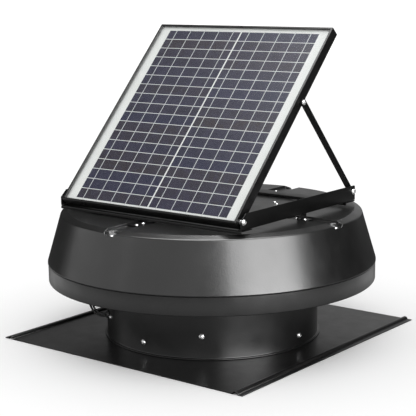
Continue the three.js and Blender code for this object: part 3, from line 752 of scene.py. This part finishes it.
def make_screen():
    """Wire grid round the air outlet: uprights and hoops, joined where they cross."""
    lo, hi = mm_box("bird_screen")
    radius, columns, rows = hi.x - 0.5, SCREEN_UPRIGHTS, SCREEN_ROWS
    vertices = [radial(360 * k / columns, radius, lo.z + 0.4 + (hi.z - lo.z - 0.8) * i / rows)
                for k in range(columns) for i in range(rows + 1)]
    faces = []
    for k in range(columns):
        here, there = k * (rows + 1), ((k + 1) % columns) * (rows + 1)
        faces += [(here + i, there + i, there + i + 1, here + i + 1) for i in range(rows)]
    screen = piece("wire_screen", vertices, faces, WIRE, "root", "screen_steel")
    wires = screen.modifiers.new("wires", "WIREFRAME")
    wires.thickness = WIRE_THICKNESS * MM
    wires.use_boundary = True
    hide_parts("bird_screen")


make_cap()
make_skirt()
make_dome_screws()
make_screen()


# ------------------------------------------------------------------ frame on the dome

FRAME_SHEET = 1.5
ARM_REAR_RADIUS = 3.0
ARM_CORNER_Z = 233.8
ARM_CORNER_LENGTH = 12.6
# For each bolt's spacer: where its wide part starts and where it ends, from its inner end outwards.
SPACERS = {"hinge_bolt": (2.0, 6.6), "strut_pivot": (2.5, 5.2)}


def make_arms():
    for word, side in (("left", -1), ("right", 1)):
        lo, hi = mm_box(f"frame_arm_{word}")
        outer = hi.x if side > 0 else lo.x
        inner = outer - side * FRAME_SHEET
        flange = lo.x if side > 0 else hi.x
        section = fillet([(outer, lo.z), (outer, hi.z), (inner, hi.z), (inner, lo.z + FRAME_SHEET),
                          (flange, lo.z + FRAME_SHEET), (flange, lo.z)],
                         [2.0, 0.5, 0.5, 0.9, 0.4, 0.4], steps=4, loop=True)
        arm = piece(f"side_arm_{word}", *along_y(section, lo.y, hi.y), FRAME_BLACK, "root",
                    "black_steel")
        radius = ARM_REAR_RADIUS
        rear = [(hi.y + 1, hi.z - radius), (hi.y + 1, hi.z + 1), (hi.y - radius, hi.z + 1)]
        rear += [(hi.y - radius + radius * math.sin(t), hi.z - radius + radius * math.cos(t))
                 for t in (0, 0.4, 0.8, 1.2, math.pi / 2)]
        top = lo.y + ARM_CORNER_LENGTH
        front = [(lo.y - 1, ARM_CORNER_Z), (lo.y, ARM_CORNER_Z), (top, hi.z), (top, hi.z + 1),
                 (lo.y - 1, hi.z + 1)]
        cut_away(arm, *[along_x(corner, outer - 3, outer + 3) for corner in (front, rear)])
        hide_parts(f"frame_arm_{word}")
        bevel(arm, 0.3)


def make_crossbars():
    for word in ("front", "rear"):
        lo, hi = mm_box(f"{word}_crossbar")
        section = fillet([(lo.y, lo.z), (lo.y, hi.z), (hi.y, hi.z), (hi.y, hi.z - FRAME_SHEET),
                          (lo.y + FRAME_SHEET, hi.z - FRAME_SHEET), (lo.y + FRAME_SHEET, lo.z)],
                         [0.4, 1.6, 0.5, 0.5, 0.6, 0.4], steps=4, loop=True)
        bar = piece(f"cross_member_{word}", *along_x(section, lo.x, hi.x), FRAME_BLACK, "root",
                    "black_steel")
        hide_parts(f"{word}_crossbar")
        bevel(bar, 0.3)


def make_feet():
    for word in ("right", "rear", "left", "front"):
        dress(FRAME_BLACK, f"frame_foot_{word}", sharp=None)


def make_frame_bolts():
    arm_face = mm_box("frame_arm_right")[1].x
    for word, side in (("left", -1), ("right", 1)):
        for kind, (start, end) in SPACERS.items():
            lo, hi = mm_box(f"{kind}_{word}")
            middle = (lo + hi) / 2
            spacer_in = abs(lo.x if side > 0 else hi.x)
            fastener(f"{kind}_head_{word}", BOLT, (side, 0, 0),
                     (side * arm_face, middle.y, middle.z), spin=spins.uniform(0, 90),
                     replaces=(f"{kind}_{word}",))
            spacer = fillet([(0, 0), (2.4, 0), (2.4, start), (4.1, start), (4.1, end), (0, end)],
                            [0, 0.3, 0, 0.4, 0.4, 0], steps=3)
            vertices, faces = lathe(spacer, SMALL_SEGMENTS)
            seat = facing((side, 0, 0), (side * spacer_in, middle.y, middle.z))
            piece(f"{kind}_spacer_{word}", moved(vertices, seat), faces, ZINC, "root", "zinc")


make_arms()
make_crossbars()
make_feet()
make_frame_bolts()


# ------------------------------------------------------------------ struts

STRUT_WIDTH = 12
STRUT_DEPTH = 2.2
STRUT_WEB = 1.0
GROOVE_HALF = 4.6
GROOVE_SETBACK = 11


def strut_bar(length, width, depth):
    """Points of a flat bar along +Y with round ends, from x = 0 to its depth."""
    half = width / 2
    outline = arc(0, 0, half, half, 270, 90, 16) + arc(length, 0, half, half, 90, -90, 16)
    return along_x(outline, 0, depth)


def make_struts():
    for word, side in (("left", -1), ("right", 1)):
        joint = JOINTS[f"strut_{word}_swing"]
        pivot = Vector(joint["pos_m"]) / MM
        bolt_lo, bolt_hi = mm_box(f"strut_bolt_{word}")
        lo, hi = mm_box(f"strut_{word}")
        top = (bolt_lo + bolt_hi) / 2
        rise, reach = top.z - pivot.z, top.y - pivot.y
        length = math.hypot(rise, reach)
        inner = lo.x if side > 0 else hi.x
        place = Matrix.Translation((inner * MM, pivot.y * MM, pivot.z * MM))
        matrix = place @ Matrix.Rotation(math.atan2(rise, reach), 4, "X")
        vertices, faces = strut_bar(length, STRUT_WIDTH, STRUT_DEPTH)
        flip = Matrix.Diagonal((side, 1, 1, 1))
        bar = piece(f"strut_bar_{word}", moved(vertices, flip), faces, FRAME_BLACK,
                    f"{word}_strut", "black_steel", matrix=matrix)
        groove = arc(GROOVE_SETBACK, 0, GROOVE_HALF, GROOVE_HALF, 270, 90, 10)
        groove += arc(length - GROOVE_SETBACK, 0, GROOVE_HALF, GROOVE_HALF, 90, -90, 10)
        points, polygons = along_x(groove, STRUT_WEB, STRUT_WEB + 4)
        cut_away(bar, (moved(points, flip), polygons))
        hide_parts(f"strut_{word}")
        bevel(bar, 0.35, 3)
        fastener(f"strut_bolt_head_{word}", BOLT_THIN, (side, 0, 0),
                 (inner + side * STRUT_DEPTH, top.y, top.z), body=f"{word}_strut",
                 spin=spins.uniform(0, 90), replaces=(f"strut_bolt_{word}",))


make_struts()


# ------------------------------------------------------------------ solar panel

TILT = -JOINTS["panel_tilt"]["range_deg"][0]
HINGE = Vector(JOINTS["panel_tilt"]["pos_m"])
PANEL = Matrix.Translation(HINGE) @ Matrix.Rotation(math.radians(TILT), 4, "X")
PANEL_HALF = 178.5
PANEL_FRONT, PANEL_BACK = -8.0, 371.0
PANEL_TOP = 8.7
CELL_COLUMNS, CELL_ROWS = 2, 18
CELLS_HALF = 155.0
CELLS_START, CELLS_END = PANEL_FRONT + 9, PANEL_FRONT + 369
CELL_GAP = 1.25
CENTRE_GAP = 3.0
ROW_PITCH = (CELLS_END - CELLS_START) / CELL_ROWS
BUSBARS = 5
RIBBON_HALF = 0.65
RIBBON_OVERHANG = 2
BOX_HALF = 42
BOX_FROM_BACK = 90


def on_panel(name, shape, material, slot):
    """A piece given in the panel's own axes: X across, Y up the panel, Z out of its face."""
    return piece(name, *shape, material, "panel", slot, matrix=PANEL)


RAIL_LIP = 3.6
RAIL_FOOT = 15.0
RAIL_DEPTH = 17.4
RAIL_SHEET = 1.5
LIP_SHEET = 1.2
MITRE_GAP = 0.12


def rail_shape(length):
    """A mitred rail along X about its middle, with its outer face at y = 0 and its top at z = 0."""
    floor = RAIL_SHEET - RAIL_DEPTH
    section = fillet([(0, 0), (RAIL_LIP, 0), (RAIL_LIP, -LIP_SHEET), (RAIL_SHEET, -LIP_SHEET),
                      (RAIL_SHEET, floor), (RAIL_FOOT, floor), (RAIL_FOOT, -RAIL_DEPTH),
                      (0, -RAIL_DEPTH)],
                     [0.7, 0.5, 0.2, 0.2, 0.4, 0.3, 0.3, 0.7], steps=4, loop=True)
    count, vertices = len(section), []
    for sign in (-1, 1):
        vertices += [(sign * (length / 2 - MITRE_GAP - u), u, v) for u, v in section]
    faces = [tuple(range(count)), tuple(range(count, 2 * count))]
    faces += [(i, (i + 1) % count, count + (i + 1) % count, count + i) for i in range(count)]
    return vertices, faces


def make_rails():
    middle = (PANEL_FRONT + PANEL_BACK) / 2
    length = PANEL_BACK - PANEL_FRONT
    sides = (("front", 2 * PANEL_HALF, 0, (0, PANEL_FRONT), RAIL_X),
             ("back", 2 * PANEL_HALF, 180, (0, PANEL_BACK), RAIL_X),
             ("left", length, -90, (-PANEL_HALF, middle), RAIL_Y),
             ("right", length, 90, (PANEL_HALF, middle), RAIL_Y))
    for word, span, turn, (x, y), material in sides:
        vertices, faces = rail_shape(span)
        place = Matrix.Translation((x, y, PANEL_TOP)) @ turn_z(turn)
        rail = on_panel(f"rail_{word}", (moved(vertices, place), faces), material,
                        "black_aluminium")
        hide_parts(f"panel_rail_{word}")


def slab(inset, top, thickness):
    """A flat layer of the panel, inset from the frame's outer faces."""
    x = PANEL_HALF - inset
    return block(-x, x, PANEL_FRONT + inset, PANEL_BACK - inset, top - thickness, top)


def make_layers():
    glass = on_panel("glass_pane", slab(1.8, PANEL_TOP - 1.5, 2.8), GLASS, "glass")
    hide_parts("panel_glass")
    bevel(glass, 0.4)
    back = on_panel("rear_film", slab(1.8, PANEL_TOP - 5.5, 0.6), FILM, "backsheet")
    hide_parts("backsheet")
    sheet_top = PANEL_TOP - 4.75
    sheet = on_panel("white_interlayer", slab(1.9, sheet_top, 0.4), FILM, "backsheet")
    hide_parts("cell_sheet")
    return sheet_top


def cell_outlines():
    """Each cell's (x0, x1, y0, y1)."""
    inner = CENTRE_GAP / 2
    for column in range(CELL_COLUMNS):
        x0, x1 = (-CELLS_HALF, -inner) if column == 0 else (inner, CELLS_HALF)
        for row in range(CELL_ROWS):
            y0 = CELLS_START + row * ROW_PITCH + CELL_GAP / 2
            yield x0, x1, y0, y0 + ROW_PITCH - CELL_GAP


def make_cells(sheet_top):
    silicon = cell_silicon("poly_silicon", CELLS_HALF * MM, ROW_PITCH * MM, CELLS_START * MM)
    plates = [block(x0, x1, y0, y1, sheet_top - 0.02, sheet_top + 0.16)
              for x0, x1, y0, y1 in cell_outlines()]
    on_panel("cells", joined(*plates), silicon, "cells")
    inner = CENTRE_GAP / 2
    width = CELLS_HALF - inner
    ribbons = []
    for start in (-CELLS_HALF, inner):
        for k in range(BUSBARS):
            x = start + width * (k + 0.5) / BUSBARS
            ribbons.append(block(x - RIBBON_HALF, x + RIBBON_HALF, CELLS_START - RIBBON_OVERHANG,
                                 CELLS_END + RIBBON_OVERHANG, sheet_top + 0.1, sheet_top + 0.24))
    on_panel("cell_ribbons", joined(*ribbons), RIBBON, "zinc")


def make_sealant():
    """The bead of sealant between the glass and the frame's lip."""
    x, y0, y1 = PANEL_HALF - 3.5, PANEL_FRONT + 3.5, PANEL_BACK - 3.5
    top = PANEL_TOP - 1.35
    outer = [(-x, y0), (x, y0), (x, y1), (-x, y1)]
    inner = [(-x + 0.9, y0 + 0.9), (x - 0.9, y0 + 0.9), (x - 0.9, y1 - 0.9), (-x + 0.9, y1 - 0.9)]
    vertices = [(u, v, top + 0.5) for u, v in outer] + [(u, v, top - 0.1) for u, v in inner]
    vertices += [(u, v, top - 0.1) for u, v in outer]
    faces = []
    for i in range(4):
        j = (i + 1) % 4
        faces += [(i, j, 4 + j, 4 + i), (4 + i, 4 + j, 8 + j, 8 + i), (8 + i, 8 + j, j, i)]
    on_panel("glass_sealant", (vertices, faces), SEALANT, "rubber")


def make_junction_box():
    lo, hi = -BOX_HALF, BOX_HALF
    centre = PANEL_BACK - BOX_FROM_BACK
    top = PANEL_TOP - 6.4
    outline = fillet([(lo, centre - 30), (hi, centre - 30), (hi, centre + 32), (lo, centre + 32)],
                     [3, 3, 7, 7], steps=6, loop=True)
    base = on_panel("junction_box_base", prism(outline, top - 9.5, top), PLASTIC, "black_plastic")
    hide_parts("junction_box")
    bevel(base, 0.5, 3)
    lid = on_panel("junction_box_lid", prism(outline, top - 13, top - 9.8), PLASTIC,
                   "black_plastic")
    bevel(lid, 0.9, 3)
    for k, (x, y) in enumerate(((-36, -24), (36, -24), (-34, 24), (34, 24))):
        fastener(f"lid_screw_{k + 1}", SMALL_SCREW, (0, 0, -1), (x, centre + y, top - 12.6),
                 body="panel", spin=spins.uniform(0, 90), matrix=PANEL)


make_rails()
make_cells(make_layers())
make_sealant()
make_junction_box()


# ------------------------------------------------------------------ lead, gland and grommet

LEAD_ANGLE = -127.5
# Points of (radius, height), from the grommet in the dome's top down to the gland in the neck.
LEAD_ROUTE = [
    (191, 209), (191.3, 190), (194, 165), (200, 135), (206, 105), (208.5, 80), (207.5, 63),
    (203.5, 51.5), (197.5, 44), (191, 40.5), (186.5, 39.6), (183.2, 39.5),
]
STRAND_RADIUS = 1.75
STRAND_SPACING = 3.9


def smooth_line(points, steps):
    """A Catmull-Rom curve through the points."""
    vectors = [Vector(p) for p in points]
    vectors = [2 * vectors[0] - vectors[1]] + vectors + [2 * vectors[-1] - vectors[-2]]
    line = []
    for i in range(1, len(vectors) - 2):
        a, b, c, d = vectors[i - 1:i + 3]
        for k in range(steps):
            t = k / steps
            line.append(0.5 * (2 * b + (c - a) * t + (2 * a - 5 * b + 4 * c - d) * t ** 2
                               + (3 * b - a - 3 * c + d) * t ** 3))
    return line + [vectors[-2]]


def make_lead():
    line = smooth_line(LEAD_ROUTE, 8)
    for name, side in (("outer", -1), ("inner", 1)):
        strand = []
        for i, point in enumerate(line):
            heading = (line[min(i + 1, len(line) - 1)] - line[max(i - 1, 0)]).normalized()
            strand.append(point + Vector((heading.y, -heading.x)) * side * STRAND_SPACING / 2)
        curve = bpy.data.curves.new(f"lead_strand_{name}", "CURVE")
        curve.dimensions = "3D"
        curve.bevel_depth = STRAND_RADIUS * MM
        curve.bevel_resolution = 5
        curve.use_fill_caps = True
        spline = curve.splines.new("POLY")
        spline.points.add(len(strand) - 1)
        for target, point in zip(spline.points, strand):
            target.co = (*(radial(LEAD_ANGLE, point.x, point.y) * MM), 1)
        curve.materials.append(RUBBER)
        obj = linked(f"lead_strand_{name}", curve)
        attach(obj, "root")
        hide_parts(f"panel_lead_{name}")


def make_gland():
    lo, hi = mm_box("lead_gland")
    height = (lo.z + hi.z) / 2
    body = fillet([(2.5, -1.5), (6, -1.5), (6, 1.6), (7.9, 1.6), (7.9, 3.4), (6.4, 3.6), (5.6, 6),
                   (4.2, 6), (4.2, 4.6)], [0, 0.2, 0, 0.4, 0.5, 0.3, 0.8, 0.3, 0], steps=3)
    vertices, faces = lathe(body, 40)
    seat = facing(radial(LEAD_ANGLE, 1, 0), radial(LEAD_ANGLE, NECK_RADIUS - SHEET, height))
    gland = piece("cable_gland", moved(vertices, seat), faces, PLASTIC, "root", "black_plastic")
    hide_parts("lead_gland")


def make_grommet():
    lo, hi = mm_box("dome_grommet")
    profile = fillet([(4, lo.z), (8, lo.z), (8, lo.z + 2.2), (6.5, lo.z + 2.2), (6.5, hi.z - 1.8),
                      (8, hi.z - 1.8), (8, hi.z), (4, hi.z)],
                     [0.8, 0.8, 0.5, 0, 0, 0.5, 0.9, 0.9], steps=4, loop=True)
    vertices, faces = lathe(profile, 48, loop=True)
    place = Matrix.Translation(radial(LEAD_ANGLE, LEAD_ROUTE[0][0], 0))
    grommet = piece("cap_grommet", moved(vertices, place), faces, RUBBER, "root", "rubber")
    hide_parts("dome_grommet")


make_lead()
make_gland()
make_grommet()


# ------------------------------------------------------------------ CAD nodes that keep their shape

dress(SPANGLE, "bracket_rail_left", "bracket_rail_right", "motor_plate",
      *[f"dome_leg_{k}" for k in range(1, 5)])
dress(PLASTIC, "motor_housing")
dress(ALUMINIUM, "motor_cover", "fan_hub", *[f"fan_blade_{k}" for k in range(1, 6)])
dress(ZINC, "lower_bearing", "upper_bearing", "motor_shaft", "hub_nut")


# ------------------------------------------------------------------ floor and light

WORLD_LEVEL = 1.2
WORLD_IN_MIRRORS = 0.03
BACK_GLOW = 0.45
BACK_GLOW_AZIMUTH = 200
BACK_GLOW_ELEVATION = 12
BACK_GLOW_OUTER = 32
BACK_GLOW_INNER = 8


def make_floor():
    """Pale to the camera; in mirrors dark, with painted shade near and behind the object, save for a
    painted bright ring about the object, open at its back.
    """
    bpy.ops.mesh.primitive_plane_add(size=12, location=(0, 0, -0.0005))
    floor = bpy.context.object
    floor.name = "floor"
    n = Nodes("pale_floor")
    parts = n.add("ShaderNodeSeparateXYZ")
    n.join(n.place, parts.inputs["Vector"])
    x, y = parts.outputs["X"], parts.outputs["Y"]
    reach = n.math("SQRT", n.math("ADD", n.math("MULTIPLY", x, x), n.math("MULTIPLY", y, y)))
    towards = direction(CAMERA_AZIMUTH, 0)
    ahead = n.math("ADD", n.math("MULTIPLY", x, towards.x), n.math("MULTIPLY", y, towards.y))
    # Seen only in reflections: painted shade on the floor near the object and behind it, and a painted
    # bright ring about the object in front.
    front = n.spread(n.math("DIVIDE", ahead, reach), -0.75, -0.45, 0, 1)
    near = n.spread(reach, 0.4, 0.65, 0, 1)
    far = n.spread(reach, 0.8, 1.0, 1, 0)
    painted_bright_ring = n.math("MULTIPLY", n.math("MULTIPLY", near, far), front)
    painted_mirror_colour = n.mix(painted_bright_ring, grey(0.03), grey(0.9))
    path = n.add("ShaderNodeLightPath")
    tint = n.mix(path.outputs["Is Glossy Ray"], grey(0.9), painted_mirror_colour)
    floor.data.materials.append(n.finish(Base_Color=tint, Roughness=0.8, Specular_IOR_Level=0.0))


def softbox(name, azimuth, elevation, distance, width, height, radiance):
    """A rectangular lamp that faces the dome's middle and shows only in reflections."""
    lamp = bpy.data.lights.new(name, "AREA")
    lamp.shape = "RECTANGLE"
    lamp.size, lamp.size_y = width, height
    lamp.energy = radiance * math.pi * width * height
    obj = linked(name, lamp)
    away = direction(azimuth, elevation)
    obj.location = Vector((0, 0, 0.15)) + away * distance
    obj.rotation_mode = "QUATERNION"
    obj.rotation_quaternion = away.to_track_quat("Z", "Y")
    obj.visible_camera = False
    obj.visible_diffuse = False


def make_world():
    """White all round, but dim in mirror reflections, with one soft glow low behind."""
    world = bpy.data.worlds.new("studio")
    bpy.context.scene.world = world
    world.use_nodes = True
    nodes, links = world.node_tree.nodes, world.node_tree.links
    path = nodes.new("ShaderNodeLightPath")
    level = nodes.new("ShaderNodeMapRange")
    level.inputs["To Min"].default_value = WORLD_LEVEL
    links.new(path.outputs["Is Glossy Ray"], level.inputs["Value"])
    place = nodes.new("ShaderNodeTexCoord")
    towards = nodes.new("ShaderNodeVectorMath")
    towards.operation = "DOT_PRODUCT"
    towards.inputs[1].default_value = direction(BACK_GLOW_AZIMUTH, BACK_GLOW_ELEVATION)
    links.new(place.outputs["Generated"], towards.inputs[0])
    glow = nodes.new("ShaderNodeMapRange")
    glow.inputs["From Min"].default_value = math.cos(math.radians(BACK_GLOW_OUTER))
    glow.inputs["From Max"].default_value = math.cos(math.radians(BACK_GLOW_INNER))
    glow.inputs["To Min"].default_value = WORLD_IN_MIRRORS
    glow.inputs["To Max"].default_value = BACK_GLOW
    links.new(towards.outputs["Value"], glow.inputs["Value"])
    links.new(glow.outputs["Result"], level.inputs["To Max"])
    background = nodes["Background"]
    background.inputs["Color"].default_value = (1, 1, 1, 1)
    links.new(level.outputs["Result"], background.inputs["Strength"])


def make_light():
    """Each softbox: azimuth, elevation, distance, width, height and radiance."""
    make_world()
    softbox("key_softbox", 75, 22, 3.0, 2.7, 2.4, 11.0)
    softbox("low_softbox", 74, 4, 0.66, 0.32, 0.09, 5.4)
    softbox("left_softbox", -50, 18, 3.0, 3.1, 2.0, 1.1)
    softbox("top_softbox", 70, 88, 2.2, 2.2, 2.2, 8.0)
    softbox("front_softbox", 6, 18, 3.0, 3.4, 2.0, 1.1)
    bpy.context.scene.view_settings.view_transform = "Standard"


make_floor()
make_light()
